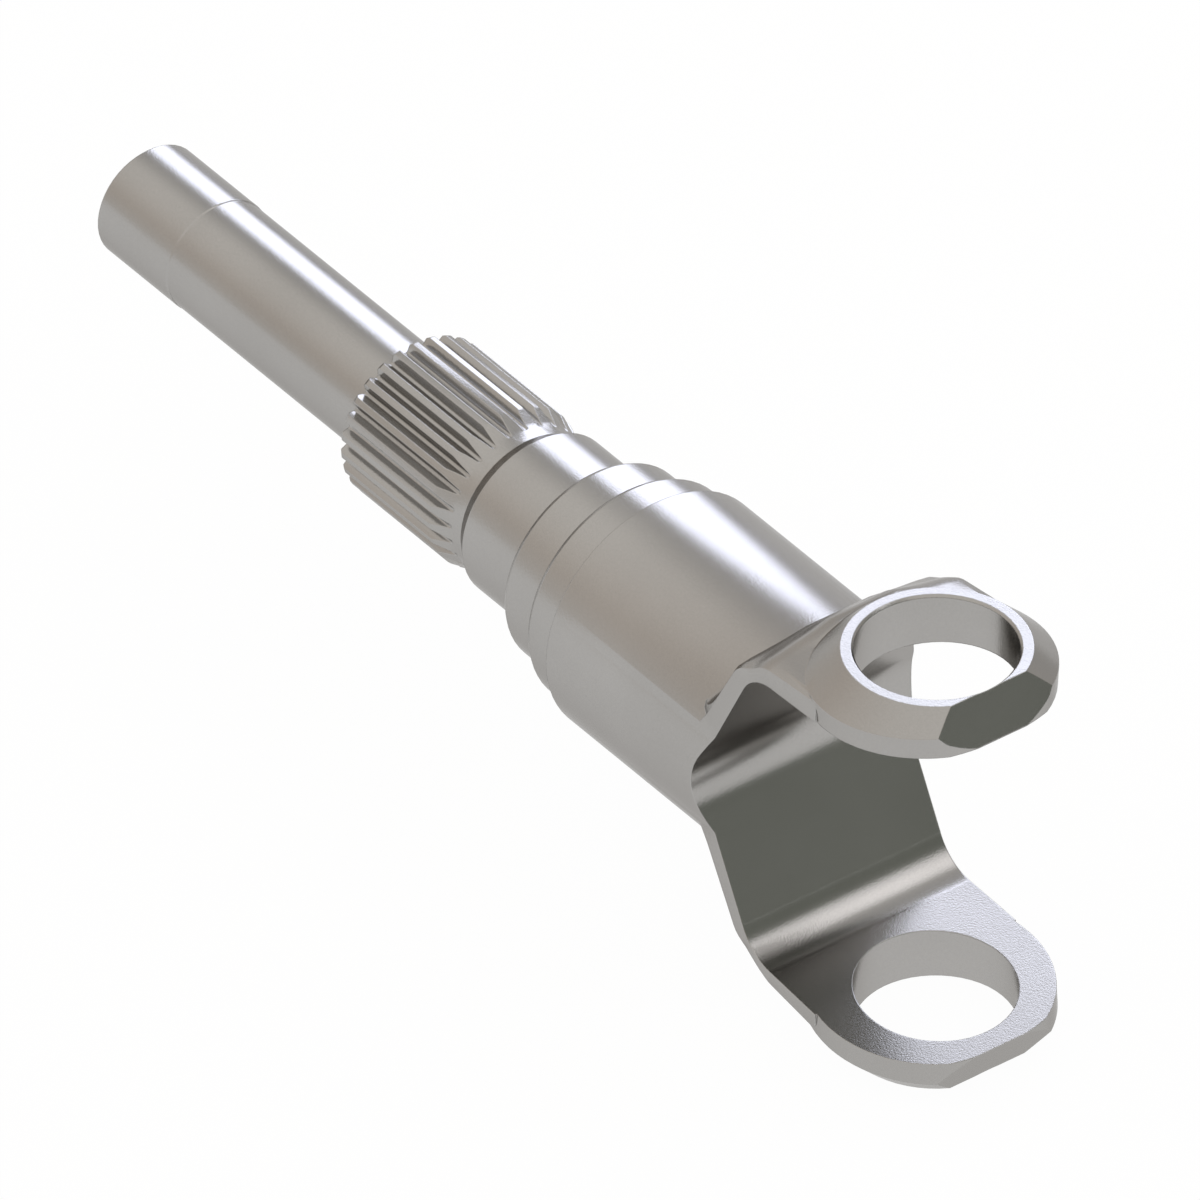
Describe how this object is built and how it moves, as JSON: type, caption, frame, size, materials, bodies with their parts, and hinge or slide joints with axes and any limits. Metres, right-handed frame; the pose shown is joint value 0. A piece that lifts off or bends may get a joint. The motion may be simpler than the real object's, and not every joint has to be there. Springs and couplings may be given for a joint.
{
  "type": "driveshaft yoke",
  "caption": "Forged steel driveshaft yoke: two ears bored for universal-joint bearing caps, on a stepped shaft with bearing journals, a splined zone and a long pilot.",
  "frame": {"origin": "point where the axis of the bearing bores crosses the shaft's axis", "axes": "+X along the shaft towards the fork's open end, +Z along the bearing bores, Y across the fork"},
  "size_m": [0.3389, 0.066, 0.1152],
  "materials": {
    "steel": "machined and blasted, satin"
  },
  "bodies": {
    "root": {"yoke": "steel"}
  },
  "joints": []
}
